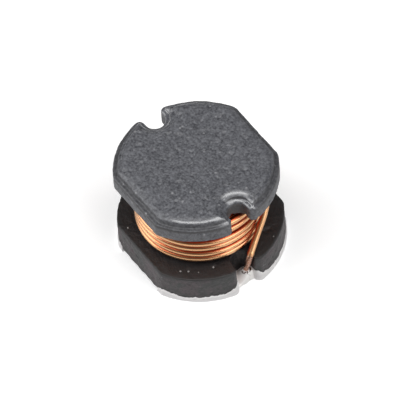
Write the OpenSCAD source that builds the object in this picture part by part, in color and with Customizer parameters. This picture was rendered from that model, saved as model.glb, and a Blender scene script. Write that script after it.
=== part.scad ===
// Drum-core surface-mount power inductor.
// A pressed ferrite drum carries one enamelled copper wire wound in three layers.
// Each end of the wire runs down a notch in the lower flange and is soldered to a
// tinned terminal that wraps the bottom edge of the drum.
//
// Frame: origin at the centre of the footprint on the board plane, +X through the
// notches and terminals, +Z up.  Units are millimetres.

/* [Core] */

// Length of the lower flange through the notches
core_length = 4.5; // [3.6:0.01:6.5]

// Width of the lower flange across its two flats
core_width = 4.02; // [3.2:0.01:6.0]

// Overall height from the board to the top face
core_height = 3.2; // [2.4:0.01:5.5]

// Length of the upper flange through the notches
upper_length = 4.44; // [3.5:0.01:6.5]

// Width of the upper flange across its two flats
upper_width = 3.98; // [3.1:0.01:6.0]

// Height of the lower flange's inner face above the board
lower_level = 0.93; // [0.5:0.01:1.6]

// Thickness of the upper flange
upper_thickness = 0.65; // [0.4:0.01:1.4]

// Diameter of the post that carries the winding
post_diameter = 2.26; // [1.2:0.01:3.2]

// Radius where a flat turns into the round
corner_radius = 0.3; // [0.05:0.01:0.6]

/* [Pressed edges] */

// Width of the flat step outside the top bevel
land_width = 0.09; // [0.06:0.005:0.11]

// Distance from the rim to the outer edge of the flat top face
bevel_width = 0.2; // [0.12:0.005:0.35]

// Height of the top bevel
bevel_height = 0.2; // [0.06:0.005:0.35]

// Break on the upper outer edge of both flanges
edge_break = 0.03; // [0.01:0.005:0.05]

/* [Notches] */

// Width of each wire notch
notch_width = 0.58; // [0.4:0.01:0.9]

// Depth of each wire notch from the round rim
notch_depth = 0.6; // [0.4:0.01:0.9]

// Radius at the two corners of a notch mouth
mouth_radius = 0.15; // [0.05:0.01:0.3]

/* [Winding] */

// Diameter of the wire over its enamel
wire_diameter = 0.2; // [0.1:0.01:0.3]

// Gap left between neighbouring turns
turn_gap = 0.007; // [0.004:0.001:0.03]

// Gap left between layers
layer_gap = 0.0125; // [0.01:0.0005:0.04]

// Angle round the post at which the finish lead leaves the top turn
leave_angle = 80; // [60:1:110]

/* [Terminals] */

// Tin thickness under the lower flange
pad_thickness = 0.04; // [0.02:0.005:0.1]

// Tin thickness up the side of the lower flange
rim_thickness = 0.03; // [0.02:0.005:0.06]

// Height of the tin up the rim
rim_height = 0.17; // [0.08:0.01:0.4]

// Height of the tin inside a notch and at its mouth
notch_tin_height = 0.42; // [0.2:0.01:0.8]

// Distance either side of a notch over which the tin falls to the rim height
tin_slope = 0.5; // [0.1:0.01:1.2]

// Distance between the inner edges of the two pads
pad_gap = 1.64; // [0.6:0.01:2.6]

/* [Solder] */

// Height of the solder that holds each lead in its notch
solder_height = 0.34; // [0.15:0.01:0.6]

// Radius of the hollow that the solder's surface draws into
hollow_radius = 0.42; // [0.3:0.01:0.8]

/* [Hidden] */

R_low = core_length/2;
F_low = core_width/2;
R_up = upper_length/2;
F_up = upper_width/2;
post_r = post_diameter/2;
upper_level = core_height - upper_thickness;
notch_end = R_low - notch_depth + notch_width/2;   // centre of the notch's round end
wire_r = wire_diameter/2;
pitch = wire_diameter + turn_gap;
spacing = wire_diameter + layer_gap;
clear = 0.014;                                    // wire to post

// Layer radii at the wire's centre line.
r1 = post_r + wire_r + clear;
r2 = r1 + spacing;
r3 = r2 + spacing;

// Heights at the wire's centre line.  The start lead lies on the flange, so the
// second and third layers stay one pitch above it where they cross.
z_start = lower_level + wire_r + 0.03;
z_cross = z_start + pitch;
z_turn = z_start + wire_r;                        // where the third layer starts
z_limit = upper_level - wire_r - 0.01;
turns = floor((z_limit - z_start)/pitch - 0.46);  // whole turns in a layer

// Angles are counted from the -X notch, clockwise seen from above, in turns.
lead_x = notch_end + 0.01;                        // where the start lead rises
t_in = acos(r1/lead_x)/360;                       // start lead meets the post layer
t_1 = turns + 0.5;                                // end of the first layer
t_c = 2*turns + 0.06;                             // second layer is past the lead
t_2 = 2*turns + 0.3;                              // end of the second layer
step_t = 0.1;                                     // turn spent moving out a layer
t_3 = 3*turns + (180 - leave_angle)/360;          // finish lead leaves

bend_r = 0.2;                                     // bend in the start lead

// Where the finish lead enters its notch, and where its tail stands.
enter = [notch_end + 0.09, notch_width/2 - wire_r - 0.005, lower_level];
tail = [notch_end - 0.03, 0.125];
tail_top = 0.4;
tail_end = 0.06;

// ---------------------------------------------------------------- outline

function arc(cx, cy, r, a0, a1, n, from = 0) =
  [for (i = [from:n]) let (a = a0 + (a1 - a0)*i/n) [cx + r*cos(a), cy + r*sin(a)]];

// One quarter of a flange outline moved inwards by d, from the notch's inner end
// to the middle of a flat.  Every d gives the same number of points.
// A slab wider than the round leaves no flat to speak of.
function quarter(R0, F0, d) =
  let (R = R0 - d, F = min(F0 - d, R - 0.002),
       nr = notch_width/2 + d,
       rc = max(corner_radius - d, 0.06),
       rm = max(mouth_radius - d, 0.03),
       wall = sqrt(pow(R - rm, 2) - pow(nr + rm, 2)),
       free = wall < notch_end,
       mx = free ? (pow(R - rm, 2) - pow(nr + rm, 2) + pow(notch_end, 2))/(2*notch_end) : wall,
       my = free ? sqrt(pow(R - rm, 2) - mx*mx) : nr + rm,
       aa = free ? atan2(my, mx - notch_end) : 90,
       am = atan2(my, mx),
       cy = F - rc, cx = sqrt(pow(R - rc, 2) - cy*cy),
       ac = atan2(cy, cx))
  concat(arc(notch_end, 0, nr, 180, aa, 6),
         arc(mx, my, rm, aa - 180, am, 4),
         arc(0, 0, R, am, ac, 10, 1),
         arc(cx, cy, rc, ac, 90, 4, 1),
         [for (j = [1:5]) [cx*(1 - j/5), F]]);

// The same quarter as angles on a circle, so that a circle can be skinned to it.
quarter_angles = concat([for (i = [0:6]) i*16/6], [for (i = [0:4]) 18 + 2*i],
                        [for (i = [1:10]) 26 + 3.5*i], [for (i = [1:4]) 61 + 3.2*i],
                        [for (i = [1:5]) 73.8 + 3.24*i]);
function circle_quarter(r) = [for (a = quarter_angles) [r*cos(a), r*sin(a)]];

function around(q) = let (n = len(q) - 1)
  concat(q,
         [for (i = [n - 1:-1:0]) [-q[i][0], q[i][1]]],
         [for (i = [1:n]) [-q[i][0], -q[i][1]]],
         [for (i = [n - 1:-1:1]) [q[i][0], -q[i][1]]]);
function at(p, z) = [for (v = p) [v[0], v[1], z]];

// Closed skin over a list of rings with equal numbers of points.
module skin(rings) {
  n = len(rings[0]);
  m = len(rings);
  points = [for (r = rings) each r];
  sides = [for (k = [0:m - 2]) for (i = [0:n - 1]) let (j = (i + 1)%n)
           each [[k*n + i, (k + 1)*n + i, (k + 1)*n + j], [k*n + i, (k + 1)*n + j, k*n + j]]];
  bottom = [for (i = [0:n - 1]) i];
  top = [for (i = [n - 1:-1:0]) (m - 1)*n + i];
  polyhedron(points, concat([bottom], sides, [top]));
}

// ---------------------------------------------------------------- the wire

function ang(t) = 180 - 360*t;
function mix(a, b, u) = a + (b - a)*u;

// Radius and height of the wire's centre line at t turns.
function wire_radius(t) =
  t < t_1 ? r1 : t < t_1 + step_t ? mix(r1, r2, (t - t_1)/step_t) :
  t < t_2 ? r2 : t < t_2 + step_t ? mix(r2, r3, (t - t_2)/step_t) : r3;
z_1 = z_start + (t_1 - t_in)*pitch;
z_2 = z_cross + (t_c - t_1 - step_t)*pitch;
function wire_z(t) =
  t < t_1 ? z_start + (t - t_in)*pitch :
  t < t_1 + step_t ? mix(z_1, z_2, (t - t_1)/step_t) :
  t < t_c ? z_cross + (t_c - t)*pitch :
  t < t_2 ? mix(z_cross, z_turn, (t - t_c)/(t_2 - t_c)) :
  t < t_2 + step_t ? z_turn : z_turn + (t - t_2 - step_t)*pitch;
function on_helix(t) =
  [wire_radius(t)*cos(ang(t)), wire_radius(t)*sin(ang(t)), wire_z(t)];

// Start lead: up the -X notch, one bend, then a straight run that meets the post
// layer as a tangent.
run_to = on_helix(t_in);
run_xy = [run_to[0] + lead_x, run_to[1]];
run_dir = run_xy/norm(run_xy);
start_lead = concat(
  [[-lead_x, 0, tail_end], [-lead_x, 0, tail_top]],
  [for (b = [0:15:90]) let (s = bend_r*(1 - cos(b)))
    [-lead_x + s*run_dir[0], s*run_dir[1], z_start - bend_r + bend_r*sin(b)]]);

// Coil: 24 steps a turn in the covered layers, all at the same angles so that the
// layers stay parallel, and 36 steps a turn in the outer one.
n_outer = round((t_3 - t_2 - step_t)*36);
coil = concat(
  [on_helix(t_in)],
  [for (i = [ceil(t_in*24 + 0.3):floor((t_2 + step_t)*24 - 0.3)]) on_helix(i/24)],
  [for (i = [0:n_outer]) on_helix(mix(t_2 + step_t, t_3, i/n_outer))]);

// Finish lead: tangent off the top turn, out over the layer, then straight to the
// notch and down to its tail.
off = on_helix(t_3);
over = r3 + wire_diameter;
function polar(r, a, z) = [r*cos(a), r*sin(a), z];
knots = [on_helix(t_3 - 0.03), off,
         polar(r3/cos(23), leave_angle - 23, off[2] - 0.01),
         polar(over + 0.03, leave_angle - 35, off[2] - 0.22),
         polar(over + 0.047, leave_angle - 46, mix(lower_level, upper_level, 0.537)),
         mix(polar(over + 0.047, leave_angle - 46, mix(lower_level, upper_level, 0.537)), enter, 0.5),
         enter,
         [notch_end + 0.05, 0.155, 0.68],
         [tail[0], tail[1], tail_top], [tail[0], tail[1], tail_end]];
function spline(p0, p1, p2, p3, u) =
  0.5*(2*p1 + (p2 - p0)*u + (2*p0 - 5*p1 + 4*p2 - p3)*u*u + (3*p1 - p0 - 3*p2 + p3)*u*u*u);
finish_lead = concat(
  [for (k = [1:len(knots) - 3]) for (i = [k == 1 ? 1 : 0:3])
    spline(knots[k - 1], knots[k], knots[k + 1], knots[k + 2], i/4)],
  [knots[len(knots) - 2], knots[len(knots) - 1]]);

wire_path = concat(start_lead, coil, finish_lead);

function unit(v) = v/norm(v);
function flat_out(p) = unit([p[0], p[1], 0]);
function heading(p, i) = let (n = len(p) - 1)
  unit(i == 0 ? p[1] - p[0] : i == n ? p[n] - p[n - 1] :
       unit(p[i + 1] - p[i]) + unit(p[i] - p[i - 1]));
// Eight-sided section square to the wire, one corner pointing away from the axis.
function section_at(p, i) =
  let (t = heading(p, i), o = flat_out(p[i]), n = unit(o - (o*t)*t), b = cross(t, n))
  [for (k = [0:7]) p[i] + wire_r*(cos(45*k)*n + sin(45*k)*b)];

// ---------------------------------------------------------------- parts

module drum_core() {
  color([0.20, 0.20, 0.22])
    skin([at(around(circle_quarter(post_r)), pad_thickness),
          at(around(quarter(R_low, F_low, 0)), pad_thickness),
          at(around(quarter(R_low, F_low, 0)), lower_level - edge_break),
          at(around(quarter(R_low, F_low, edge_break)), lower_level),
          at(around(circle_quarter(post_r)), lower_level),
          at(around(circle_quarter(post_r)), upper_level),
          at(around(quarter(R_up, F_up, 0)), upper_level),
          at(around(quarter(R_up, F_up, 0)), core_height - bevel_height - edge_break),
          at(around(quarter(R_up, F_up, edge_break)), core_height - bevel_height),
          at(around(quarter(R_up, F_up, land_width)), core_height - bevel_height),
          at(around(quarter(R_up, F_up, 0.45*land_width + 0.55*bevel_width)), core_height - bevel_height*0.18),
          at(around(quarter(R_up, F_up, bevel_width)), core_height),
          at(around(circle_quarter(post_r)), core_height)]);
}

module winding() {
  color([0.80, 0.45, 0.18])
    skin([for (i = [0:len(wire_path) - 1]) section_at(wire_path, i)]);
}

// Outline of the lower flange moved out by the tin's thickness.
tin_line = around(quarter(R_low, F_low, -rim_thickness));

mouth = notch_width/2 + rim_thickness;
side = mouth + tin_slope;

module terminal() {
  color([0.82, 0.82, 0.80])
    difference() {
      union() {
        intersection() {
          linear_extrude(rim_height) polygon(tin_line);
          translate([pad_gap/2, -core_width, -1]) cube([core_length, 2*core_width, 4]);
        }
        intersection() {
          linear_extrude(notch_tin_height) polygon(tin_line);
          translate([notch_end - notch_width/2 - 0.2, 0, 0]) rotate([90, 0, 90])
            linear_extrude(core_length)
              polygon([[-side, 0], [side, 0], [side, rim_height], [mouth, notch_tin_height],
                       [-mouth, notch_tin_height], [-side, rim_height]]);
        }
      }
      translate([0, 0, pad_thickness])
        linear_extrude(core_height) polygon(around(quarter(R_low, F_low, 0)));
    }
}
module terminal_start() { rotate([0, 0, 180]) terminal(); }
module terminal_finish() { terminal(); }

// Solder in the round end of a notch, up against the tin, hollowed on top.
module solder(wx, wy, turn) {
  nr = notch_width/2 - rim_thickness;
  a = arc(notch_end, 0, nr, 180, 90, 6);
  out = notch_end + 0.14;
  region = concat([[out, -nr]], [for (i = [6:-1:1]) [a[i][0], -a[i][1]]], a, [[out, nr]]);
  o = unit([wx, wy]);
  color([0.72, 0.72, 0.72])
    difference() {
      translate([0, 0, 0.01]) linear_extrude(solder_height) polygon(region);
      translate([notch_end + hollow_radius, 0, solder_height + hollow_radius/2])
        sphere(r = hollow_radius, $fn = 48);
      translate([wx, wy, tail_end]) linear_extrude(1)
        polygon([for (k = [0:7]) wire_r*[cos(45*k)*o[0] - sin(45*k)*o[1]*turn,
                                         cos(45*k)*o[1] + sin(45*k)*o[0]*turn]]);
    }
}
module solder_start() { rotate([0, 0, 180]) solder(lead_x, 0, 1); }
module solder_finish() { solder(tail[0], tail[1], 1); }

drum_core();
winding();
terminal_start();
terminal_finish();
solder_start();
solder_finish();
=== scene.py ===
# %% [markdown]
# # A drum-core power inductor for surface mounting
# This notebook dresses a small coil: a black ferrite drum, one enamelled copper
# wire wound on it, and two tinned terminals under it. The plain solids come from
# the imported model, so every piece made here is worked out from the same sizes and
# lies in the same frame: +X runs through the two wire notches and +Z is up.

# %% Load the frame
import math
import bmesh
import bpy
import numpy as np
from mathutils import Matrix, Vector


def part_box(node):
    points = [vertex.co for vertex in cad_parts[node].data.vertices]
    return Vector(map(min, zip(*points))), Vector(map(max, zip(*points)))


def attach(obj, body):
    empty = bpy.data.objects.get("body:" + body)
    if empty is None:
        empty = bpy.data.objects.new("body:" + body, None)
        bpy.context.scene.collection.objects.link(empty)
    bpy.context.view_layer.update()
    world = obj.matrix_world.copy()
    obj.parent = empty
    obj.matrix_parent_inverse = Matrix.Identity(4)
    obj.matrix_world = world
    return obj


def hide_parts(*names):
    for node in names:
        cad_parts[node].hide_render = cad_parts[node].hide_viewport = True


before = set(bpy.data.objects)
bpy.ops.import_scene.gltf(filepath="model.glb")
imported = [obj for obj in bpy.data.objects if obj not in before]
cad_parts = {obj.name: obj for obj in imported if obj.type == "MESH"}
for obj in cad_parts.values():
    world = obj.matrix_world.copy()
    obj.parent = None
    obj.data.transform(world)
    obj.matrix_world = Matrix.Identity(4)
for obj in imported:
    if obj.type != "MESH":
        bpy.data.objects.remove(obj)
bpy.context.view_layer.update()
MM = 0.001
print("nodes:", sorted(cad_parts))

# %% [markdown]
# ## From arrays to a mesh
# Every surface below is a grid: rows of points, each row a closed or open line.
# Joining each row to the next gives quads, and the two open ends of a grid get one
# large face each. So the shape itself stays a formula on whole arrays, and three
# small helpers are all that is needed to number the corners of its faces.

# %% Faces of a grid
def grid_faces(rows, columns, close_rows, close_columns):
    """Quads between neighbouring rows and columns: the point at (i, j) has the index
    i * columns + j, and a closed direction joins its last line to its first."""
    i = np.arange(rows if close_rows else rows - 1)
    j = np.arange(columns if close_columns else columns - 1)
    i, j = np.meshgrid(i, j, indexing="ij")
    i2, j2 = (i + 1) % rows, (j + 1) % columns
    quads = np.stack([i * columns + j, i * columns + j2, i2 * columns + j2, i2 * columns + j], -1)
    return quads.reshape(-1, 4)


def row_caps(rows, columns, first=0):
    """One face over the first row and one over the last, for a tube of closed rows
    whose points are counted from first."""
    last = first + (rows - 1) * columns
    return [list(range(first, first + columns))[::-1], list(range(last, last + columns))]


def column_caps(rows, columns):
    """The same for the first and the last column, where the rows close on each other."""
    start = [i * columns for i in range(rows)]
    return [start, [k + columns - 1 for k in start][::-1]]


print("a tube of 3 rings of 4 points:", len(grid_faces(3, 4, False, True)), "quads and 2 caps")

# %% [markdown]
# A mesh needs its faces to point outwards, and the sign of the enclosed volume tells
# whether they do. A pattern that follows the shape, such as wear along an edge, is
# one number for each point, called a mark here, which a material can read.

# %% Volume, marks and UV
def enclosed_volume(points, faces):
    """Sum over the faces of the signed tetrahedra they make with the origin."""
    total = 0.0
    for k in range(1, faces.shape[1] - 1):
        a, b, c = points[faces[:, 0]], points[faces[:, k]], points[faces[:, k + 1]]
        total += np.einsum("ij,ij->i", a, np.cross(b, c)).sum() / 6
    return total


def add_mark(mesh, name, values):
    """Keeps one number for each point of the mesh under a name."""
    layer = mesh.attributes.new(name, "FLOAT", "POINT")
    layer.data.foreach_set("value", np.asarray(values, dtype=np.float32).ravel())


def add_uv(mesh, name, uv):
    """Gives each corner of each face the pair of numbers of its point."""
    layer = mesh.uv_layers.new(name=name)
    corner_points = np.empty(len(mesh.loops), dtype=np.int32)
    mesh.loops.foreach_get("vertex_index", corner_points)
    layer.data.foreach_set("uv", np.asarray(uv, dtype=np.float32).reshape(-1, 2)[corner_points].ravel())


# %% A piece from points and faces
def make_piece(name, points_mm, quads, caps, slot, stands_for=(), uv=None, marks=None, smooth_angle=None):
    """Puts points and faces into a mesh object, turned so that its faces point out."""
    points = np.asarray(points_mm, dtype=np.float64).reshape(-1, 3)
    volume = enclosed_volume(points, quads) + sum(enclosed_volume(points, np.array([cap])) for cap in caps)
    faces = quads.tolist() + caps
    if volume < 0:
        faces = [face[::-1] for face in faces]
    mesh = bpy.data.meshes.new(name)
    mesh.from_pydata((points * MM).tolist(), [], faces)
    if uv is not None:
        add_uv(mesh, "along", uv)
    for key, values in (marks or {}).items():
        add_mark(mesh, key, values)
    mesh.polygons.foreach_set("use_smooth", np.ones(len(mesh.polygons), dtype=bool))
    mesh.validate()
    mesh.update()
    if smooth_angle is not None:
        mesh.set_sharp_from_angle(angle=math.radians(smooth_angle))
    piece = bpy.data.objects.new(name, mesh)
    bpy.context.scene.collection.objects.link(piece)
    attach(piece, "root")
    if stands_for:
        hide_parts(*stands_for)
    print(f"{name}: {len(points)} points, {len(faces)} faces, {abs(volume):.4f} mm3")
    return piece


def make_tube(name, grid, rows_close=False, **rest):
    """A piece from a grid that is closed along its rows, or across them if rows_close,
    with a face over each of its two open ends."""
    rows, columns = grid.shape[:2]
    caps = column_caps(rows, columns) if rows_close else row_caps(rows, columns)
    return make_piece(name, grid, grid_faces(rows, columns, rows_close, not rows_close), caps, **rest)

# %% [markdown]
# Some shapes run a row of points into one place, as at the end of a straight edge.
# Such points are joined when the piece is done, which makes its mesh truly closed.

# %% Points that lie on each other
def join_doubles(piece):
    """Joins points closer than a fiftieth of a micron."""
    shell = bmesh.new()
    shell.from_mesh(piece.data)
    before = len(shell.verts)
    bmesh.ops.remove_doubles(shell, verts=shell.verts, dist=0.00002 * MM)
    print(f"{piece.name}: {before - len(shell.verts)} points joined")
    shell.to_mesh(piece.data)
    shell.free()
    return piece

# %% [markdown]
# ## Uneven by nature
# Pressed powder, dipped tin and hand-fed wire are never quite even. A lattice of
# random numbers, blended smoothly between its points, gives such unevenness at any
# chosen size. The seed is fixed, so the part comes out the same every time.

# %% Noise
def lattice_noise(points, size, seed):
    """Random values on a cubic lattice of the given size, blended between the eight
    corners round each point by the smooth step 3t^2 - 2t^3. The result is -1 to 1."""
    table = np.random.default_rng(seed).uniform(-1, 1, (32, 32, 32))
    p = np.asarray(points, dtype=np.float64) / size + 500
    base = np.floor(p).astype(int)
    t = p - base
    t = t * t * (3 - 2 * t)
    value = 0.0
    for corner in np.ndindex(2, 2, 2):
        weight = np.prod(np.where(np.array(corner) == 1, t, 1 - t), axis=-1)
        k = (base + corner) % 32
        value = value + weight * table[k[..., 0], k[..., 1], k[..., 2]]
    return value


def line_noise(x, size, seed):
    """The same along a line."""
    return lattice_noise(np.stack([x, 0.37 + 0 * x, 0.61 + 0 * x], -1), size, seed)


print("noise at three places:", np.round(line_noise(np.array([0.0, 0.5, 1.0]), 0.4, 1), 2))

# %% [markdown]
# Two more shapes of number come back all the time: a ramp, which says how far a
# value has gone from one limit to another, and a bell, which is 1 at a place and
# fades to 0 around it. Most soft limits below are one of the two.

# %% Ramp and bell
def ramp(value, low, high):
    """0 up to low, 1 from high on, and a straight line between."""
    return np.clip((value - low) / (high - low), 0, 1)


def bell(value, centre, width, power=2):
    """exp(-((value - centre) / width) ^ power): 2 is a soft bell, 4 has a flatter top."""
    return np.exp(-((value - centre) / width) ** power)


print("half-way up a ramp:", ramp(0.5, 0, 1), "and one width off a bell:", round(float(bell(1, 0, 1)), 3))

# %% [markdown]
# ## The ferrite drum
# The drum is pressed from ferrite powder and fired as one piece: a lower flange, a
# post and an upper flange. Seen from above, a flange is a circle cut by two flats,
# with a round-ended notch at each end for the wire. It could be made with booleans,
# but the die also leaves a narrow flat step and a bevel all round the top, notches
# included, and a bevel tool breaks up on such an outline. So the outline is a
# formula that can be moved inwards by any amount with the same number of points.
# Then the whole drum is one skin over a stack of outlines.

# %% Sizes of the drum
def box_mm(node):
    """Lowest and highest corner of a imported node, in mm."""
    return np.round(np.array([list(corner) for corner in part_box(node)]) / MM, 2)


(_, core_back, PAD), (_, core_front, HEIGHT) = box_mm("drum_core")
LOWER, UPPER = (4.50, core_front - core_back), (4.44, 3.98)    # length and width of each flange
LOWER_LEVEL, UPPER_LEVEL = 0.93, 2.55
POST_RADIUS = 1.13
NOTCH_WIDTH, NOTCH_DEPTH = 0.58, 0.60
NOTCH_CENTRE = LOWER[0] / 2 - NOTCH_DEPTH + NOTCH_WIDTH / 2
CORNER, MOUTH = 0.30, 0.15
print(f"lower flange {LOWER[0]} x {LOWER[1]:.2f} mm, height {HEIGHT} mm, tin under it {PAD} mm")

# %% [markdown]
# A quarter of the outline is enough, because the other three mirror it. Each of its
# stretches always has the same number of points, whatever the inset.

# %% Arcs and mirroring
COUNTS = dict(notch=22, mouth=12, round=56, corner=14, flat=22)


def arc(cx, cy, radius, start, end, steps, skip_first=False):
    """Points at equal angles from start to end on a circle about (cx, cy)."""
    a = np.radians(np.linspace(start, end, steps + 1))[1 if skip_first else 0:]
    return np.stack([cx + radius * np.cos(a), cy + radius * np.sin(a)], -1)


def mirror_round(quarter):
    """A quarter from the +X axis to the +Y axis, mirrored into all four."""
    q = quarter
    return np.concatenate([q, (q * [-1, 1])[-2::-1], -q[1:], (q * [1, -1])[-2:0:-1]])


print("stretches of a quarter:", COUNTS)

# %% Outline of a flange
def flange_outline(flange, inset):
    """Round end of the notch, its wall, a rounded mouth, the main round, a rounded
    corner and half a flat. The mouth's circle touches the notch's wall, or its round
    end once the inset has eaten the wall, and the inside of the main round."""
    outer, flat = (across / 2 - inset for across in flange)
    notch = NOTCH_WIDTH / 2 + inset
    corner, mouth = max(CORNER - inset, 0.06), max(MOUTH - inset, 0.03)
    reach, mouth_y, touch = (outer - mouth) ** 2, notch + mouth, 90.0
    mouth_x = math.sqrt(reach - mouth_y ** 2)
    if mouth_x < NOTCH_CENTRE:
        mouth_x = (reach - mouth_y ** 2 + NOTCH_CENTRE ** 2) / (2 * NOTCH_CENTRE)
        mouth_y = math.sqrt(reach - mouth_x * mouth_x)
        touch = math.degrees(math.atan2(mouth_y, mouth_x - NOTCH_CENTRE))
    mouth_end = math.degrees(math.atan2(mouth_y, mouth_x))
    corner_y = flat - corner
    corner_x = math.sqrt((outer - corner) ** 2 - corner_y * corner_y)
    corner_start = math.degrees(math.atan2(corner_y, corner_x))
    along = 1 - np.arange(1, COUNTS["flat"] + 1) / COUNTS["flat"]
    return mirror_round(np.concatenate([
        arc(NOTCH_CENTRE, 0, notch, 180, touch, COUNTS["notch"]),
        arc(mouth_x, mouth_y, mouth, touch - 180, mouth_end, COUNTS["mouth"]),
        arc(0, 0, outer, mouth_end, corner_start, COUNTS["round"], True),
        arc(corner_x, corner_y, corner, corner_start, 90, COUNTS["corner"], True),
        np.stack([corner_x * along, np.full(COUNTS["flat"], flat)], -1)]))


POINTS_ROUND = len(flange_outline(LOWER, 0))
print("points round the drum:", POINTS_ROUND)

# %% [markdown]
# The post and the middle of the top face are round, so the outline has to turn into a
# circle on the way in. A matching circle has the same number of points, and each lies
# inside its partner, so any share between the two is a clean ring.

# %% The circle that matches the outline
def matching_circle(radius):
    """Equal angles within each stretch: the notch takes 16 degrees beside the axis, its
    mouth 18 to 26, the round up to 61, the corner up to 73.8 and the flat the rest."""
    a = np.radians(np.concatenate([
        np.linspace(0, 16, COUNTS["notch"] + 1), np.linspace(18, 26, COUNTS["mouth"] + 1),
        np.linspace(26, 61, COUNTS["round"] + 1)[1:], np.linspace(61, 73.8, COUNTS["corner"] + 1)[1:],
        np.linspace(73.8, 90, COUNTS["flat"] + 1)[1:]]))
    return mirror_round(radius * np.stack([np.cos(a), np.sin(a)], -1))


def post_ring(share, z):
    """A circle of a share of the post's radius at a height."""
    return np.column_stack([matching_circle(POST_RADIUS * share), np.full(POINTS_ROUND, z)])


def flange_ring(flange, inset, z, share=0.0):
    """A flange's outline at a height, drawn by a share towards the post."""
    ring = (1 - share) * flange_outline(flange, inset) + share * matching_circle(POST_RADIUS)
    return np.column_stack([ring, np.full(POINTS_ROUND, z)])


print("the post is", 2 * POST_RADIUS, "mm across")

# %% [markdown]
# The skin runs from the middle of the underside, out and up the lower flange, in to
# the post, out again under the upper flange, up its side, over the step and the
# bevel, and in to the middle of the top. Each stop of that walk is an inset and a
# height. Edges are short quarter circles, because no pressed edge is a knife edge.

# %% Profiles of the two rims
def rounded_edge(inset, z, radius, start, end, steps=5):
    """Quarter circle of (inset, height) stops about a centre. Inset grows inwards, so
    an angle of 0 faces out and 90 faces up."""
    a = np.radians(np.linspace(start, end, steps))
    return [(inset - radius * math.cos(v), z + radius * math.sin(v)) for v in a]


def walk(stops, most):
    """Fills a list of stops so that no two are further apart than the given length."""
    filled = [stops[0]]
    for a, b in zip(stops[:-1], stops[1:]):
        steps = max(1, math.ceil(math.dist(a, b) / most))
        filled += [tuple(p + (q - p) * k / steps for p, q in zip(a, b)) for k in range(1, steps)]
        filled.append(b)
    return filled


UNDER_BREAK, LOWER_BREAK, UPPER_BREAK, RIM_ROUND = 0.02, 0.035, 0.03, 0.045
RIM_LEVEL, TOP_INSET = 2.960, 0.335
lower_side = walk(rounded_edge(UNDER_BREAK, PAD + UNDER_BREAK, UNDER_BREAK, -90, 0, 4)
                  + rounded_edge(LOWER_BREAK, LOWER_LEVEL - LOWER_BREAK, LOWER_BREAK, 0, 90, 6), 0.036)
step_stops = [(0.075, 3.005), (0.102, 3.006), (0.116, 3.022)]
bevel_stops = [(0.140, 3.098), (0.148, 3.118), (0.158, 3.131), (0.170, 3.138)]
crown_stops = [(0.245, 3.172), (0.290, 3.190), (0.312, 3.196), (TOP_INSET, HEIGHT)]
upper_side = walk(rounded_edge(UPPER_BREAK, UPPER_LEVEL + UPPER_BREAK, UPPER_BREAK, -90, 0, 5)
                  + rounded_edge(RIM_ROUND, RIM_LEVEL, RIM_ROUND, 0, 90, 8)
                  + step_stops + bevel_stops + crown_stops, 0.03)
print("rings up the lower rim:", len(lower_side), "and up the upper one:", len(upper_side))

# %% [markdown]
# The stack names each stretch of rings, so that the steps after it can ask for the
# rings of one stretch, such as the upper rim.

# %% Stack of outlines
inward = np.linspace(0, 1, 26)[1:]
stretches = {
    "underside": [post_ring(s, PAD) for s in (0.02, 0.5)]
    + [flange_ring(LOWER, UNDER_BREAK, PAD, s) for s in (1.0, 0.66, 0.33)],
    "lower side": [flange_ring(LOWER, inset, z) for inset, z in lower_side],
    "lower face": [flange_ring(LOWER, 0.045, LOWER_LEVEL, s) for s in inward],
    "post": [post_ring(1, z) for z in np.linspace(LOWER_LEVEL, UPPER_LEVEL, 8)[1:-1]],
    "upper face": [flange_ring(UPPER, UPPER_BREAK, UPPER_LEVEL, s) for s in (1.0, 0.75, 0.5, 0.25)],
    "upper side": [flange_ring(UPPER, inset, z) for inset, z in upper_side],
    "top": [flange_ring(UPPER, TOP_INSET, HEIGHT, s) for s in inward]
    + [post_ring(s, HEIGHT) for s in np.linspace(1, 0.02, 34)[1:]],
}
rows_of, count = {}, 0
for stretch, rings in stretches.items():
    rows_of[stretch] = slice(count, count + len(rings))
    count += len(rings)
drum = np.array(sum(stretches.values(), []))
print("rings:", {stretch: len(rings) for stretch, rings in stretches.items()})

# %% [markdown]
# ## Wear and painted shade on the drum
# Tumbling has polished the edge of the bevel and the lips of the notches. Shade is
# painted dark into the crease of the step, onto the land away from the notches and
# along the lower part of the rim's outer rounded edge. Next to a notch the rim stands
# a little higher, the painted shade lies on one side only and the rest of the lip is
# polished. All of it follows the outline, so it is worked out here from each ring's
# inset and kept as marks on the points.

# %% Where a point lies on the upper rim
FAR = 9.0    # an inset so large that no bell below reaches it
inset_of, rim_edge_shade = np.full((len(drum), 1), FAR), np.zeros((len(drum), 1))
side = np.array(upper_side)
inset_of[rows_of["upper side"], 0] = side[:, 0]
# Painted shade: a dark line along the lower part of the rim's outer rounded edge.
rim_edge_shade[rows_of["upper side"], 0] = bell(np.hypot(side[:, 0] - 0.004, side[:, 1] - 2.945), 0, 0.044)
from_notch_x = np.abs(drum[..., 0]) - NOTCH_CENTRE
from_notch_y = drum[..., 1] * np.sign(drum[..., 0])
from_notch = np.hypot(from_notch_x, from_notch_y)
near = bell(from_notch, 0, 0.62, 4)
above = ramp(drum[..., 2], 2.86, 2.94)
# The side of each notch's lip where the painted shade lies; the rest of the lip is polished.
shaded_side = ramp((-0.87 * from_notch_x + 0.50 * from_notch_y) / from_notch, 0.70, 0.85)
print("points near a notch:", int((near > 0.5).sum()))

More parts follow.
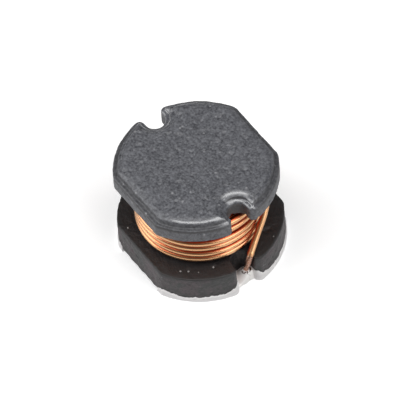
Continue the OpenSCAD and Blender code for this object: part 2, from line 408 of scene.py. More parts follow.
# %% Raised lips and the marks
lip_height = 0.07 * (1 - ramp(inset_of, 0.120, 0.150)) - 0.45 * np.clip(0.104 - inset_of, 0, None)
drum[..., 2] += near * above * lip_height
# Painted shade: dark in the crease of the step (near a notch only on its shaded side), on the land away from
# the notches and along the outer edge.
crease = bell(inset_of, 0.122, 0.018) * (1 - near * (1 - shaded_side))
hollow_mark = crease * near + (1 - near) * (0.60 * bell(inset_of, 0.088, 0.062, 4) + 1.2 * rim_edge_shade)
bevel_edge = (bell(inset_of, 0.195 + 0.045 * near, 0.036 + 0.029 * near, 4)
              + near * above * bell(inset_of, 0.055, 0.045, 4))
on_flat = ramp(np.abs(drum[..., 1]), 1.52, 1.64)
notch_lip = near * (1 - shaded_side) * bell(inset_of, 0.13, 0.05, 4)
edge_mark = np.clip(bevel_edge * (1 - 0.9 * on_flat) + notch_lip, 0, 1)
print("polished points:", int((edge_mark > 0.5).sum()), "and darkened ones:", int((hollow_mark > 0.5).sum()))

# %% [markdown]
# Pressed powder is never flat either. The surface moves along its own normal by a
# few microns of noise, and small bites are missing where grains fell out.

# %% The pressed surface
def outward(grid):
    """Unit normal at each grid point: the cross product of the slopes along the two
    directions of the grid, where the second direction is closed."""
    down = np.gradient(grid, axis=0)
    across = np.roll(grid, -1, axis=1) - np.roll(grid, 1, axis=1)
    n = np.cross(across, down)
    return n / np.maximum(np.linalg.norm(n, axis=-1, keepdims=True), 1e-12)


def worn(grid, spared):
    """Moves each point along its normal by noise: a slow wave, two sizes of grain,
    bites that take only the deepest part of the noise, and a rougher rim at the foot,
    where the halves of the die meet. Polished edges are spared most of it, and the hidden
    post all of it."""
    shift = (0.006 * lattice_noise(grid, 0.55, 10) + 0.006 * lattice_noise(grid, 0.16, 11)
             + 0.005 * lattice_noise(grid, 0.09, 12))
    bite = np.clip(lattice_noise(grid, 0.17, 31) * 0.6 + lattice_noise(grid, 0.08, 32) * 0.4 - 0.40, 0, None)
    foot = np.clip((0.30 - grid[..., 2]) / 0.2, 0, 1)
    rough_foot = foot * (0.012 * lattice_noise(grid, 0.20, 33) + 0.008 * lattice_noise(grid, 0.09, 34))
    shift = shift - 0.10 * bite + rough_foot
    hidden = (np.hypot(grid[..., 0], grid[..., 1]) < POST_RADIUS + 0.02) & (np.abs(grid[..., 2] - 1.7) < 1.0)
    shift[hidden] = 0
    shift = shift * (1 - 0.75 * spared)
    return grid + shift[..., None] * outward(grid)


drum = worn(drum, edge_mark)
drum[..., 2] = np.clip(drum[..., 2], 0.03, HEIGHT + 0.005)
core = make_tube("ferrite_drum", drum, slot="ferrite", stands_for=["drum_core"],
                 marks={"hollow": hollow_mark, "edge": edge_mark})

# %% [markdown]
# ## Flecks of powder
# A few crumbs of pressing powder stuck to the lower flange. Each is a flattened
# ball with its own size, sunk a little into the face.

# %% Flecks
CRUMB_RINGS, CRUMB_SIDES = 7, 12


def crumb(x, y, size, seed):
    """Rings of a ball from 15 to 165 degrees off its axis, squashed to 0.6 and made
    uneven by noise, centred on the lower flange's inner face."""
    tilt = np.radians(np.linspace(15, 165, CRUMB_RINGS))[:, None]
    turn = np.linspace(0, 2 * np.pi, CRUMB_SIDES, endpoint=False)[None]
    x_y_z = np.sin(tilt) * np.cos(turn), np.sin(tilt) * np.sin(turn), 0.6 * np.cos(tilt) + 0 * turn
    ball = np.stack(x_y_z, -1)
    uneven = 1 + 0.3 * lattice_noise(ball, 0.7, seed)[..., None]
    return ball * size * uneven + [x, y, LOWER_LEVEL + 0.25 * size]


CRUMBS = [(1.289, -1.539, 0.026), (1.418, -1.369, 0.028), (1.608, -1.175, 0.018), (1.712, -0.760, 0.030),
          (-0.774, -1.831, 0.026), (1.827, 1.114, 0.020)]
balls = np.array([crumb(x, y, size, 21 + k) for k, (x, y, size) in enumerate(CRUMBS)])
firsts = [k * CRUMB_RINGS * CRUMB_SIDES for k in range(len(CRUMBS))]
ball_faces = grid_faces(CRUMB_RINGS, CRUMB_SIDES, False, True)
flecks = make_piece("powder_flecks", balls, np.concatenate([ball_faces + first for first in firsts]),
                    sum((row_caps(CRUMB_RINGS, CRUMB_SIDES, first) for first in firsts), []), slot="ferrite")

# %% [markdown]
# ## The winding
# One enamelled wire makes the whole coil. It comes up the -X notch, meets the post
# as a tangent, and goes up, down and up again in three layers. Then it leaves the
# top turn, runs down outside the layers and goes into the +X notch. A screw modifier
# can't change layer or leave a turn, so the centre line is computed instead: an
# angle that grows steadily, with a radius and a height that are worked out from it.
# The wire is a round section carried along that line.

# %% Sizes of the winding
WIRE = 0.10
PITCH, LAYER = 0.207, 0.2125
TURNS = 6
R1 = POST_RADIUS + WIRE + 0.014
R2, R3 = R1 + LAYER, R1 + 2 * LAYER
LEAD_X = NOTCH_CENTRE + 0.01
LEAVE = 80.0
Z_START = LOWER_LEVEL + WIRE + 0.03
Z_CROSS, Z_TURN = Z_START + PITCH, Z_START + WIRE
T_IN = math.degrees(math.acos(R1 / LEAD_X)) / 360
T1, TC, T2, STEP = TURNS + 0.42, 2 * TURNS + 0.06, 2 * TURNS + 0.3, 0.1
T3 = 3 * TURNS + (180 - LEAVE) / 360
Z1 = Z_START + (T1 - T_IN) * PITCH
Z2 = Z_CROSS + (TC - T1 - STEP) * PITCH
Z3 = Z_TURN + (T3 - T2 - STEP) * PITCH
print(f"layers at radii {R1:.3f}, {R2:.3f} and {R3:.3f} mm, {T3 - T_IN:.1f} turns in all")

# %% [markdown]
# The outer turns were fed by hand and don't lie evenly: some touch, one gap is wide,
# and the last turns sag and spread where they pass the +X notch. A short list says
# how far the wire lies above its even place, in mm, at a count of turns.

# %% Turns of the coil
SETTLE = np.array([(12.40, 0), (12.58, -0.055), (12.70, -0.055), (12.85, 0), (13.15, 0), (13.35, -0.050),
                   (13.58, -0.066), (13.85, -0.015), (14.15, -0.015), (14.58, -0.032), (15.0, -0.020),
                   (15.58, -0.042), (16.0, -0.025), (16.28, -0.010), (16.46, 0.065), (16.60, 0.050),
                   (16.9, 0.010), (17.25, 0.002), (17.44, 0.120), (17.60, 0.115), (17.9, 0.07), (18.2, 0.0)])


def on_coil(t):
    """Turns are counted clockwise from the -X notch. Radius and height are straight
    lines between the layer changes; each outer turn lies a little off its even place."""
    radius = np.interp(t, [T_IN, T1, T1 + STEP, T2, T2 + STEP, T3], [R1, R1, R2, R2, R3, R3])
    z = np.interp(t, [T_IN, T1, T1 + STEP, TC, T2, T2 + STEP, T3],
                  [Z_START, Z1, Z2, Z_CROSS, Z_TURN, Z_TURN, Z3])
    z = z + np.interp(t, SETTLE[:, 0], SETTLE[:, 1])
    outer = np.clip((t - T2 - 0.3) / 0.5, 0, 1) * np.clip((T3 - t) / 0.3, 0, 1)
    radius = radius + outer * 0.008 * line_noise(t, 0.35, 42)
    a = np.radians(180 - 360 * t)
    return np.stack([radius * np.cos(a), radius * np.sin(a), z], -1)


coil = on_coil(np.linspace(T_IN, T3, 1900))
print("points on the coil:", len(coil))

# %% [markdown]
# The start lead rises straight in its notch, bends over and runs to the post. The
# finish lead is freer, so its path is a smooth curve through a few knots: off the
# top turn as a tangent, down outside the layers, against the notch's wall and down
# to the tin.

# %% Curve helpers
def polar(r, degrees, z):
    """The place at a radius, an angle and a height."""
    return np.array([r * math.cos(math.radians(degrees)), r * math.sin(math.radians(degrees)), z])


def through(knots, steps):
    """Catmull-Rom curve: each span is the cubic that passes its two knots with slopes
    set by their neighbours."""
    k = np.array(knots)
    u = np.linspace(0, 1, steps, endpoint=False)[:, None]
    spans = [b + 0.5 * ((c - a) * u + (2 * a - 5 * b + 4 * c - d) * u ** 2 + (3 * b - a - 3 * c + d) * u ** 3)
             for a, b, c, d in zip(k[:-3], k[1:-2], k[2:-1], k[3:])]
    return np.concatenate(spans + [k[-2:-1]])

# %% Start lead
BEND = 0.2
quarter_turn = np.radians(np.linspace(0, 90, 18))[:, None]
aim = on_coil(np.array([T_IN]))[0, :2] + [LEAD_X, 0]
aim = aim / np.linalg.norm(aim)
riser = np.linspace([-LEAD_X, 0, 0.06], [-LEAD_X, 0, Z_START - BEND], 12, endpoint=False)
elbow = np.concatenate([[-LEAD_X, 0] + BEND * (1 - np.cos(quarter_turn)) * aim,
                        Z_START - BEND + BEND * np.sin(quarter_turn)], 1)
run_in = np.linspace(elbow[-1], coil[0], 12)[1:-1]
print("the start lead meets the post", round(360 * T_IN), "degrees round")

# %% Finish lead
SPAN = 16
over = R3 + 2 * WIRE
top_z = coil[-1][2]
knee = polar(over + 0.030, LEAVE - 46, LOWER_LEVEL + 0.537 * (UPPER_LEVEL - LOWER_LEVEL))
enter = np.array([NOTCH_CENTRE + 0.09, NOTCH_WIDTH / 2 - WIRE - 0.005, LOWER_LEVEL])
foot = np.array([NOTCH_CENTRE - 0.03, 0.125, 0.06])
finish = through([on_coil(np.array([T3 - 0.03]))[0], coil[-1],
                  polar(R3 / math.cos(math.radians(23)), LEAVE - 23, top_z - 0.01),
                  polar(over + 0.010, LEAVE - 35, top_z - 0.22), knee, (knee + enter) / 2, enter,
                  np.array([NOTCH_CENTRE + 0.05, 0.155, 0.68]), foot + [0, 0, 0.34], foot,
                  foot - [0, 0, 0.3]], SPAN)
line = np.concatenate([riser, elbow, run_in, coil, finish[1:]])
length = np.concatenate([[0], np.cumsum(np.linalg.norm(np.diff(line, axis=0), axis=1))])
lead_from = length[-len(finish)]
bare_from = length[len(line) - len(finish) + 1 + SPAN * 5 - 4]
print(f"wire {length[-1]:.1f} mm long, finish lead from {lead_from:.1f} mm, bare from {bare_from:.1f} mm")

# %% [markdown]
# The section needs a direction that doesn't twist. On a coil that is easy: one axis
# of the section always points away from the drum's axis, made square to the wire.
# Where the finish lead was stripped and tinned, the enamel ends in a small collar
# and the wire below it is thinner and lumpy.

# %% Round section along the wire
SIDES = 20


def carried_circle(points, radius, sides):
    """For each point: the tangent t, the outward direction less its part along t, and
    their cross product. The section is the circle in those two directions."""
    t = np.gradient(points, axis=0)
    t /= np.linalg.norm(t, axis=1, keepdims=True)
    out = points * [1, 1, 0]
    out /= np.linalg.norm(out, axis=1, keepdims=True)
    n = out - (out * t).sum(1, keepdims=True) * t
    n /= np.linalg.norm(n, axis=1, keepdims=True)
    b = np.cross(t, n)
    a = np.linspace(0, 2 * np.pi, sides, endpoint=False)
    return (points[:, None] + radius[:, None, None]
            * (np.cos(a)[None, :, None] * n[:, None] + np.sin(a)[None, :, None] * b[:, None]))


bare = np.clip((length - bare_from) / 0.05, 0, 1) + np.clip((0.9 - length) / 0.05, 0, 1)
collar = bell(length, bare_from - 0.04, 0.035)
slim = np.clip((length - lead_from) / 0.3, 0, 1)
taper = np.clip((length - bare_from) / 0.9, 0, 1)
wire_radius = (WIRE * (0.985 + 0.01 * line_noise(length, 1.5, 51)) * (1 - 0.07 * slim - 0.33 * taper)
               + 0.012 * collar)
wire_points = carried_circle(line, wire_radius, SIDES)
lumps = 0.006 * lattice_noise(wire_points, 0.06, 52)[..., None]
wire_points = wire_points + bare[:, None, None] * lumps
print("wire radius in mm:", np.round(wire_radius.min(), 3), "to", np.round(wire_radius.max(), 3))

# %% [markdown]
# Between two turns the copper looks deeper and redder, because light reaches it only
# from the next turn. A mark on the points that face a neighbour lets the material
# show that, and on the finish lead only its side towards the coil has it. The wire's
# own UV map keeps how bare it is and how far along it is.

# %% Wire surface
around = (np.arange(SIDES)[None] * 360 / SIDES + 180) % 360 - 180
groove_shade_mark = ramp(np.abs(around - 10), 22, 50) * (1 - slim)[:, None] + ramp(around, 76, 106) * slim[:, None]
wire_uv = np.repeat(np.stack([bare, length / length[-1]], -1)[:, None], SIDES, axis=1)
wire = make_tube("copper_winding", wire_points, slot="enamelled_copper", stands_for=["winding"],
                 uv=wire_uv, marks={"groove_shade": groove_shade_mark})

# %% [markdown]
# ## The tinned terminals
# Each end of the lower flange was dipped in silver and then in tin. The metal covers
# the underside up to a straight edge, turns up the rim and stops at a ragged line,
# higher in the notch, where the lead is soldered. A band cut from a cylinder would
# look machined, so the terminal follows the drum's own outline, and its upper edge
# is a height worked out for every point of that outline plus noise.

# %% Upper edge of the tin
(PAD_EDGE, _, _), (_, tin_front, _) = box_mm("terminal_finish")
RIM_TIN = tin_front - core_front


def tin_top(outer, s, seed):
    """Height of the tin along the outline, s being the way gone in mm: a low line that
    rises to the notch and at the two ends, and sinks inside the notch, plus noise."""
    y, to_end = np.abs(outer[:, 1]), np.minimum(s, s[-1] - s)
    rise = np.exp(-np.clip(y - 0.33, 0, None) / 0.20)
    corner = bell(to_end, 0.25, 0.22)
    ragged = (0.030 * line_noise(s, 0.22, seed) + 0.030 * line_noise(s, 0.075, seed + 1)
              + 0.020 * line_noise(s, 0.04, seed + 2))
    inside = np.clip((NOTCH_CENTRE - 0.05 - outer[:, 0]) / 0.2, 0, 1) * (y < 0.4)
    end = np.clip(to_end / 0.10, 0, 1)
    return (0.18 + 0.22 * rise + 0.09 * corner + ragged) * (1 - 0.62 * inside) * (0.7 + 0.3 * end)


print(f"tin {RIM_TIN:.2f} mm thick on the rim, pads from {PAD_EDGE} mm off the middle")

# %% Section of a terminal
def terminal_surface(seed):
    """Closed section carried along the outline of the +X end: straight pad edge, pad,
    rounded lower rim, side, thin upper lip and back down along the ferrite. Also
    gives which points of the outline it follows, and its height at each."""
    outer, inner, low = (flange_outline(LOWER, inset) for inset in (-RIM_TIN, 0.004, -RIM_TIN + 0.014))
    kept = np.flatnonzero(outer[:, 0] > PAD_EDGE)
    gap = np.flatnonzero(np.diff(kept) > 1)
    kept = np.roll(kept, -(gap[0] + 1))
    outer, inner, low = outer[kept], inner[kept], low[kept]
    s = np.concatenate([[0], np.cumsum(np.linalg.norm(np.diff(outer, axis=0), axis=1))])
    top = tin_top(outer, s, seed)
    one = np.ones(len(s))
    pad_edge = np.stack([PAD_EDGE * one, outer[:, 1]], -1)
    bulge = 0.35 * (outer - low) * line_noise(s, 0.18, seed + 3)[:, None]
    section = [(pad_edge, PAD * one), (pad_edge, 0 * one), (0.5 * (pad_edge + low), 0 * one),
               (low, 0 * one), (0.3 * low + 0.7 * outer, 0.006 * one), (outer + bulge, 0.02 * one),
               (outer + bulge, 0.5 * top), (outer + 0.5 * bulge, top - 0.03),
               (0.75 * outer + 0.25 * inner, top - 0.008), (0.5 * (outer + inner), top),
               (inner, top - 0.004), (inner, 0.5 * top), (inner, PAD * one),
               (0.5 * (pad_edge + inner), PAD * one)]
    return np.array([np.column_stack([xy, z]) for xy, z in section]), kept, top


print("points along a terminal:", len(terminal_surface(61)[1]))

# %% [markdown]
# Just above the tin, a thin dark line is painted into the ferrite's colour.
# It follows the ragged edge, so it is worked out with each terminal and kept as one
# more mark on the drum. Along the flats, where there is no tin, the foot is darkened as a painted contact
# shadow.

# %% Terminals and the dark line over the tin
side_rows, tins = rows_of["lower side"], []
# Painted contact shadow along the foot of the drum; over each terminal the mark is moved up to a dark line
# along the tin's ragged edge.
shadow_and_tin_line_mark = 0.8 * bell(drum[..., 2], 0.07, 0.07)
for name, node, seed, half_turn in (("tin_finish_end", "terminal_finish", 61, 1),
                                    ("tin_start_end", "terminal_start", 71, -1)):
    surface, kept, top = terminal_surface(seed)
    at = kept if half_turn == 1 else (kept + POINTS_ROUND // 2) % POINTS_ROUND
    shadow_and_tin_line_mark[side_rows, at] = bell(drum[side_rows, at, 2], top + 0.035, 0.070)
    tins.append(join_doubles(make_tube(name, surface * [half_turn, half_turn, 1], rows_close=True,
                                       slot="tin", stands_for=[node], smooth_angle=50)))
patchy = np.clip(0.75 + 0.6 * lattice_noise(drum, 0.28, 35), 0, 1)
add_mark(core.data, "shadow_and_tin_line", shadow_and_tin_line_mark * patchy)
join_doubles(core)
print("dark line over the tin on", int((shadow_and_tin_line_mark * patchy > 0.5).sum()), "points of the drum")

# %% [markdown]
# ## The solder in the notches
# The solder is a small pool that climbs the lead and the tinned wall by surface
# tension. Its top is a height field: a low floor plus a term that grows towards the
# wall and one that grows towards the wire. Specks of flux lie round the wire, so a
# mark says how near it is.

# %% Solder surface
def solder_surface(wire_x, wire_y, seed):
    """Grid over the round end of a notch: across runs from wall to wall and along runs
    from the inner end to the open side. Top, front and underside close into a shell."""
    wall = NOTCH_WIDTH / 2 - RIM_TIN * 0.6
    along = np.linspace(0, 1, 40)[:, None]
    across = np.linspace(-1, 1, 45)[None]
    x = NOTCH_CENTRE - wall + (wall + 0.13) * (1 - (1 - along) ** 2) + 0.02 * line_noise(across, 0.5, seed)
    in_round = x < NOTCH_CENTRE
    half = np.where(in_round, np.sqrt(np.clip(wall ** 2 - (x - NOTCH_CENTRE) ** 2, 1e-6, None)), wall)
    y = across * half
    to_wall = np.where(in_round, wall - np.hypot(np.minimum(x - NOTCH_CENTRE, 0), y), half - np.abs(y))
    to_wire = np.clip(np.hypot(x - wire_x, y - wire_y) - WIRE * 0.8, 0, None)
    z = 0.055 + 0.04 * np.exp(-np.clip(to_wall, 0, None) / 0.05) + 0.31 * bell(to_wire, 0, 0.16)
    z = z + 0.006 * lattice_noise(np.stack([x, y, 0 * x], -1), 0.09, seed + 1)
    front = np.clip((1 - along) / 0.30, 0, 1)
    z = 0.015 + (z - 0.015) * np.sqrt(1 - (1 - front) ** 2)
    top = np.stack([x, y, z], -1)
    under = np.stack([x, y, 0.012 + 0 * z], -1)
    by_wire = bell(to_wire, 0.02, 0.045)
    return np.concatenate([top, under[::-1]]), np.concatenate([by_wire, by_wire[::-1]])


pools = []
for name, node, wire_x, wire_y, half_turn, seed in (
        ("solder_finish_end", "solder_finish", foot[0], foot[1], 1, 81),
        ("solder_start_end", "solder_start", LEAD_X, 0.0, -1, 91)):
    surface, by_wire = solder_surface(wire_x, wire_y, seed)
    pools.append(make_tube(name, surface * [half_turn, half_turn, 1], rows_close=True,
                           slot="solder", stands_for=[node], marks={"ring": by_wire}))

# %% [markdown]
# ## Materials as expressions
# A shader pattern is arithmetic on textures. Writing that arithmetic as Python
# expressions keeps it readable, so a small class wraps a socket and adds a Math node
# for each operator. Colours go through Mix nodes, because Math would turn them grey.

# %% A number that varies over a surface
class Value:
    """A socket with the usual operators, each of which adds a Math node."""

    def __init__(self, shader, socket):
        self.shader, self.socket = shader, socket

    def _math(self, operation, *values):
        return self.shader.node("ShaderNodeMath", {"operation": operation}, *values).out("Value")

    def __add__(self, other):
        return self._math("ADD", self, other)

    def __radd__(self, other):
        return self._math("ADD", other, self)

    def __sub__(self, other):
        return self._math("SUBTRACT", self, other)

    def __rsub__(self, other):
        return self._math("SUBTRACT", other, self)

    def __mul__(self, other):
        return self._math("MULTIPLY", self, other)

    def __rmul__(self, other):
        return self._math("MULTIPLY", other, self)

    def size(self):
        return self._math("ABSOLUTE", self)

    def clipped(self):
        return self.shader.node("ShaderNodeClamp", {}, self).out("Result")


class Made:
    """A node just made, with its outputs by name."""

    def __init__(self, shader, made):
        self.shader, self.made = shader, made

    def out(self, name):
        return Value(self.shader, next(s for s in self.made.outputs if s.name == name and s.enabled))

# %% [markdown]
# One method makes every node: it takes the node's type, its settings, and then the
# values of its sockets, in order or by name. The rest are short names for the nodes
# that come back often, with lengths in mm.

# %% Shader
class Shader:
    """A material's nodes. A socket's value is a number, a colour or a Value."""

    def __init__(self, name):
        self.material = bpy.data.materials.new(name)
        self.material.use_nodes = True
        self.tree = self.material.node_tree
        self.tree.nodes.clear()

    def node(self, kind, settings, *values, **named):
        made = self.tree.nodes.new(kind)
        for key, value in settings.items():
            setattr(made, key, value)
        live = [s for s in made.inputs if s.enabled]
        by_name = {s.name.replace(" ", "_"): s for s in reversed(live)}
        sockets = live[:len(values)] + [by_name[key] for key in named]
        for socket, value in zip(sockets, [*values, *named.values()]):
            if isinstance(value, Value):
                self.tree.links.new(value.socket, socket)
            elif value is not None:
                socket.default_value = value
        return Made(self, made)

    def place(self):
        return self.node("ShaderNodeTexCoord", {}).out("Object")

    def mark(self, name):
        """A number kept on the mesh's points."""
        return self.node("ShaderNodeAttribute", {"attribute_name": name}).out("Fac")

    def grain(self, size, detail=2.0, roughness=0.5):
        """Noise between 0 and 1 whose features are the given size in mm."""
        return self.node("ShaderNodeTexNoise", {}, Vector=self.place(), Scale=1 / (size * MM), Detail=detail,
                         Roughness=roughness).out("Fac")

    def step(self, value, low, high):
        """0 below low, 1 above high and a straight line between."""
        return self.node("ShaderNodeMapRange", {"clamp": True}, value, low, high).out("Result")

    def rise(self, place, low, high):
        """The same for a place in metres between two limits in mm."""
        return self.step(place, low * MM, high * MM)

    def mix(self, share, a, b):
        return self.node("ShaderNodeMix", {"data_type": "RGBA"}, share, a, b).out("Result")

    def parts(self, vector=None):
        made = self.node("ShaderNodeSeparateXYZ", {}, vector or self.place())
        return made.out("X"), made.out("Y"), made.out("Z")

    def bump(self, height, depth, strength=1.0):
        made = self.node("ShaderNodeBump", {}, Strength=strength, Distance=depth * MM, Height=height)
        return made.out("Normal")

    def finish(self, pieces, **sockets):
        """The Principled surface, given to each of the pieces."""
        body = self.node("ShaderNodeBsdfPrincipled", {}, **sockets)
        self.node("ShaderNodeOutputMaterial", {}, Surface=body.out("BSDF"))
        for piece in pieces:
            piece.data.materials.clear()
            piece.data.materials.append(self.material)
        print(f"{self.material.name}: {len(self.tree.nodes)} nodes on", [piece.name for piece in pieces])


def rgb(r, g, b):
    """A colour given as it looks on screen, turned into the linear values shaders use."""
    return tuple(((c + 0.055) / 1.055) ** 2.4 if c > 0.04045 else c / 12.92 for c in (r, g, b)) + (1.0,)


print("a middle grey in linear values:", round(rgb(0.5, 0.5, 0.5)[0], 3))

# %% [markdown]
# ## Ferrite
# Fired ferrite is a dark grey ceramic, matt from above and a little glossy on its
# edges. Its surface shows the powder: two sizes of grain, of about a tenth of a
# millimetre, and single grains that are much lighter or darker than the rest. A cell
# pattern gives those, because each cell has a random colour that can be picked from.

# %% Ferrite: the powder
ferrite = Shader("ferrite")
x, y, z = ferrite.parts()
hollow, edge, shadow_and_tin_line = ferrite.mark("hollow"), ferrite.mark("edge"), ferrite.mark("shadow_and_tin_line")
coarse = ferrite.grain(0.15, 2.0, 0.6)
fine = ferrite.grain(0.065, 3.0, 0.65)
mottle = ferrite.step(coarse * 0.3 + fine * 0.7, 0.37, 0.63)
cells = ferrite.node("ShaderNodeTexVoronoi", {}, Vector=ferrite.place(), Scale=1 / (0.13 * MM))
pick, _, _ = ferrite.parts(cells.out("Color"))
dot = 1 - ferrite.step(cells.out("Distance"), 0.12, 0.34)
light_speck = dot * ferrite.step(pick, 0.93, 0.94)
dark_speck = dot * (1 - ferrite.step(pick, 0.09, 0.10))
print("nodes so far:", len(ferrite.tree.nodes))

# %% [markdown]
# The drum is not one colour. The faces that look at the winding are painted nearly
# black and a little brown as shade, and so are the walls of the notches, most on their
# shaded side. The lower flange's side is duller than the top, in patches, and darker
# towards the foot. Each of these places is a mask made from heights and widths.

# %% Ferrite: the places
inner = (ferrite.rise(z + 0.06 * MM * coarse, LOWER_LEVEL - 0.09, LOWER_LEVEL + 0.025)
         * (1 - ferrite.rise(z, UPPER_LEVEL - 0.05, UPPER_LEVEL + 0.05)))
low = 1 - ferrite.rise(z, LOWER_LEVEL + 0.02, LOWER_LEVEL + 0.27)
notch_wall = ((1 - ferrite.rise(y.size(), NOTCH_WIDTH / 2, NOTCH_WIDTH / 2 + 0.07))
              * (1 - ferrite.rise(x.size(), NOTCH_CENTRE - 0.08, NOTCH_CENTRE + 0.16)))
# Painted shade on the notch walls, strongest on the side the lamps don't reach, and on the faces that look at
# the winding.
shaded_wall_side = ferrite.step(x * y, -0.45 * MM * MM, -0.10 * MM * MM)
notch_wall = (notch_wall * (0.50 + 0.35 * shaded_wall_side * (1 - low) + 0.45 * low)
              * (1 - ferrite.rise(z, HEIGHT - 0.30, HEIGHT - 0.18)))
painted_recess_shade = 1 - (1 - inner) * (1 - notch_wall)
patch = ferrite.step(ferrite.grain(0.38, 2.0), 0.36, 0.62)
# Darker towards the foot of the lower flange.
darker_foot = (1 - ferrite.rise(z + 0.18 * MM * coarse, 0.25, 0.46)) * 0.5
print("nodes so far:", len(ferrite.tree.nodes))

# %% [markdown]
# Now the colours are laid over each other like coats of paint: the grey powder, the
# dull lower side, the darker foot, the painted shade on the faces by the winding and
# in the notches, the dark line over the tin with the painted contact shadow along the
# flats, the painted shade in the crease and along the rim, and the specks last. The
# polished edges get their gloss from a clear coat, and the grain's bump fades out there.

# %% Ferrite: the coats
colour = ferrite.mix(mottle, rgb(0.228, 0.230, 0.250), rgb(0.445, 0.45, 0.470))
dull = ferrite.mix(patch, ferrite.mix(mottle, rgb(0.08, 0.085, 0.084), rgb(0.21, 0.215, 0.21)),
                   ferrite.mix(mottle, rgb(0.16, 0.125, 0.138), rgb(0.31, 0.255, 0.275)))
# Colour of the painted shade on the faces by the winding and in the notches.
recess_shade_colour = ferrite.mix(mottle, rgb(0.046, 0.036, 0.038), rgb(0.092, 0.074, 0.076))
# The recess colour, the dark line with the contact shadow and the crease colour below are painted shade.
for share, coat in ((low, dull), (darker_foot, rgb(0.14, 0.12, 0.115)), (painted_recess_shade, recess_shade_colour),
                    (0.9 * shadow_and_tin_line, rgb(0.055, 0.04, 0.042)), (0.85 * hollow.clipped(), rgb(0.13, 0.12, 0.12)),
                    (0.8 * light_speck * (1 - inner) * (1 - 0.6 * low), rgb(0.60, 0.60, 0.61)),
                    (0.7 * dark_speck, rgb(0.10, 0.10, 0.10))):
    colour = ferrite.mix(share, colour, coat)
ferrite.finish([core], Base_Color=colour, Roughness=0.42 + 0.12 * fine - 0.26 * edge + 0.10 * inner, IOR=1.68,
               Coat_Weight=0.9 * edge, Coat_Roughness=0.16, Coat_IOR=1.7,
               Normal=ferrite.bump((fine + coarse * 0.7) * (1 - 0.8 * edge), 0.016))

# %% [markdown]
# The crumbs are the same powder before firing, which is paler and quite matt.

# %% Powder
powder = Shader("powder")
crumb_colour = powder.mix(powder.grain(0.03), rgb(0.45, 0.44, 0.44), rgb(0.72, 0.71, 0.70))
powder.finish([flecks], Base_Color=crumb_colour, Roughness=0.6 + 0.1 * powder.grain(0.02))

# %% [markdown]
# ## Enamelled copper
# The wire is bright copper under a clear, slightly amber enamel. The metal gives the
# orange reflections and the enamel adds a thin white gloss, which is what a clear
# coat is. In the grooves between turns, and on the finish lead's side towards the coil,
# the colour is painted redder and darker as shade and as the copper's reflection in
# itself, and the surface is rougher. The tinned ends have lost the enamel, and the
# wire's UV map says where.

# %% Copper: the masks
copper = Shader("enamelled_copper")
bare_share, along, _ = copper.parts(copper.node("ShaderNodeUVMap", {"uv_map": "along"}).out("UV"))
stripped = copper.step(bare_share, 0.3, 0.7)
lead_share = lead_from / length[-1]
loose = copper.step(along, lead_share, lead_share + 0.002)
groove_shade = copper.mark("groove_shade") * (1 - stripped)
tone = copper.grain(0.5, 2.0)
streak = copper.grain(0.04, 2.0)
print("the finish lead starts at", round(float(lead_share), 3), "of the wire")

# %% Copper: the finish
enamel = copper.mix(tone, rgb(0.97, 0.70, 0.48), rgb(0.98, 0.77, 0.56))
# Painted shade and reflection: redder and darker in the grooves between turns and on the finish lead's side
# towards the coil.
enamel = copper.mix(0.9 * groove_shade, enamel, rgb(0.78, 0.27, 0.12))
tinned = copper.mix(copper.step(streak, 0.4, 0.62), rgb(0.64, 0.42, 0.32), rgb(0.84, 0.70, 0.62))
copper.finish([wire], Base_Color=copper.mix(stripped, enamel, tinned), Metallic=1.0,
              Roughness=0.19 + 0.06 * tone + 0.17 * stripped + 0.16 * groove_shade + 0.15 * loose * (1 - stripped),
              Coat_Weight=(0.75 - 0.65 * groove_shade) * (1 - stripped), Coat_Roughness=0.12, Coat_IOR=1.55,
              Normal=copper.bump(streak, 0.004, 0.25))

# %% [markdown]
# ## Tin and solder
# Dipped tin is pale and matt, with a faint crystal pattern, and it is painted whiter
# towards the foot as the reflection of the white table. Solder is the same metal, a
# little rougher and painted greyer deep in the notch as shade, and dark specks of flux
# have dried on it round the wire.

# %% Tin
tin = Shader("tin")
crystals = tin.grain(0.12, 2.0)
_, _, z = tin.parts()
tin_colour = tin.mix(crystals, rgb(0.90, 0.89, 0.89), rgb(0.98, 0.97, 0.97))
# Painted reflection of the white table: the tin is whiter towards the foot.
tin_colour = tin.mix(tin.rise(z, 0.03, 0.15), rgb(0.99, 0.98, 0.98), tin_colour)
tin.finish(tins, Base_Color=tin_colour, Metallic=0.12, Roughness=0.34 + 0.2 * crystals,
           Normal=tin.bump(tin.grain(0.05), 0.01, 0.6))

# %% Solder
solder = Shader("solder")
x, _, _ = solder.parts()
# Painted shade: the solder is greyer deep in the notch and white outside it.
outside = solder.rise(x.size(), NOTCH_CENTRE - 0.20, NOTCH_CENTRE + 0.12)
flux = solder.step(solder.grain(0.07, 2.0), 0.49, 0.56) * solder.step(solder.mark("ring"), 0.30, 0.60)
solder_colour = solder.mix(outside, rgb(0.86, 0.82, 0.80), rgb(1.0, 0.99, 0.98))
solder.finish(pools, Base_Color=solder.mix(flux, solder_colour, rgb(0.26, 0.17, 0.12)),
              Metallic=0.15 - 0.15 * flux, Roughness=0.50 - 0.2 * flux)

# %% [markdown]
# ## Floor, light and camera
# The part stands on a white table. The table is lit like anything else, so it keeps
# the faint shadow, and a little emission that only the camera and reflections see
# lifts it to white without adding light to the part.

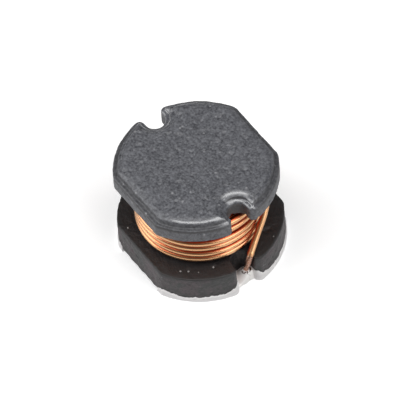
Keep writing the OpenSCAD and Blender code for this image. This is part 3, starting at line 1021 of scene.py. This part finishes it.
# %% Floor
HALF_TABLE = 1.2
floor_mesh = bpy.data.meshes.new("floor")
corners = [(x * HALF_TABLE, y * HALF_TABLE, 0) for x, y in ((-1, -1), (1, -1), (1, 1), (-1, 1))]
floor_mesh.from_pydata(corners, [], [(0, 1, 2, 3)])
floor = bpy.data.objects.new("floor", floor_mesh)
bpy.context.scene.collection.objects.link(floor)
paper = Shader("white_paper")
seen = paper.node("ShaderNodeLightPath", {})
glow = paper.node("ShaderNodeEmission", {}, Color=(1, 1, 1, 1),
                  Strength=seen.out("Is Camera Ray") * 0.34 + seen.out("Is Glossy Ray") * 0.30)
table = paper.mix(seen.out("Is Camera Ray"), (0.50, 0.50, 0.50, 1), (0.86, 0.86, 0.86, 1))
lit = paper.node("ShaderNodeBsdfDiffuse", {}, Color=table)
both = paper.node("ShaderNodeAddShader", {}, lit.out("BSDF"), glow.out("Emission"))
paper.node("ShaderNodeOutputMaterial", {}, Surface=both.out("Shader"))
floor_mesh.materials.append(paper.material)
print("table:", 2 * HALF_TABLE, "m square")

# %% [markdown]
# Two soft lamps at the sides draw the long highlights on the wire and on the edges
# of the drum, and a wide one above fills the top. An area lamp shines along its own
# -Z, so each one is turned by a matrix whose third axis points away from the part.

# %% Lamps and world
def facing(right, up, away, place):
    """A matrix whose columns are three square axes and a place."""
    return Matrix([[right[k], up[k], away[k], place[k]] for k in range(3)] + [[0, 0, 0, 1]])


def lamp(name, azimuth, elevation, width, height, watts):
    """An area lamp aimed at the part. Azimuth is counted from +X towards +Y."""
    distance = 0.30
    a, e = math.radians(azimuth), math.radians(elevation)
    away = np.array([math.cos(a) * math.cos(e), math.sin(a) * math.cos(e), math.sin(e)])
    side = np.array([-math.sin(a), math.cos(a), 0.0])
    data = bpy.data.lights.new(name, "AREA")
    data.shape, data.size, data.size_y, data.energy = "RECTANGLE", width, height, watts
    holder = bpy.data.objects.new(name, data)
    holder.matrix_world = facing(side, np.cross(away, side), away, away * distance + [0, 0, HEIGHT * MM / 2])
    bpy.context.scene.collection.objects.link(holder)
    print(f"{name}: {watts} W over {width} x {height} m")


lamp("lamp_left", -121, 25, 0.22, 0.26, 0.47)
lamp("lamp_right", 15, 31, 0.20, 0.22, 0.36)
lamp("lamp_above", -30, 81, 0.42, 0.12, 0.64)
world = bpy.data.worlds.new("studio")
bpy.context.scene.world = world
world.use_nodes = True
world.node_tree.nodes["Background"].inputs["Color"].default_value = (1, 1, 1, 1)
world.node_tree.nodes["Background"].inputs["Strength"].default_value = 0.10

# %% [markdown]
# The camera looks down at the part from beside its +X notch. It stands far off with a
# long lens, so the part shows almost no perspective. The lens follows from the
# distance and the width that the view takes in.

# %% Camera
ELEVATION, AZIMUTH, ROLL = 51.98, 59.87, -5.65
DISTANCE, VIEW_WIDTH, SENSOR = 230.0, 10.698, 36.0
e, a, r = (math.radians(angle) for angle in (ELEVATION, AZIMUTH, ROLL))
back = np.array([math.sin(a) * math.cos(e), -math.cos(a) * math.cos(e), math.sin(e)])
level = np.array([math.cos(a), math.sin(a), 0.0])
upright = np.cross(back, level)
right = math.cos(r) * level + math.sin(r) * upright
up = math.cos(r) * upright - math.sin(r) * level
target = np.array([0, 0, HEIGHT / 2]) + 0.0263 * right - 0.0506 * up
camera_data = bpy.data.cameras.new("camera")
camera_data.sensor_width = SENSOR
camera_data.lens = SENSOR * DISTANCE / VIEW_WIDTH
camera_data.clip_start, camera_data.clip_end = 0.01, 5.0
camera = bpy.data.objects.new("camera", camera_data)
camera.matrix_world = facing(right, up, back, (target + DISTANCE * back) * MM)
bpy.context.scene.collection.objects.link(camera)
bpy.context.scene.camera = camera
bpy.context.scene.view_settings.view_transform = "Standard"
print(f"lens {camera_data.lens:.0f} mm, {DISTANCE} mm from the part")
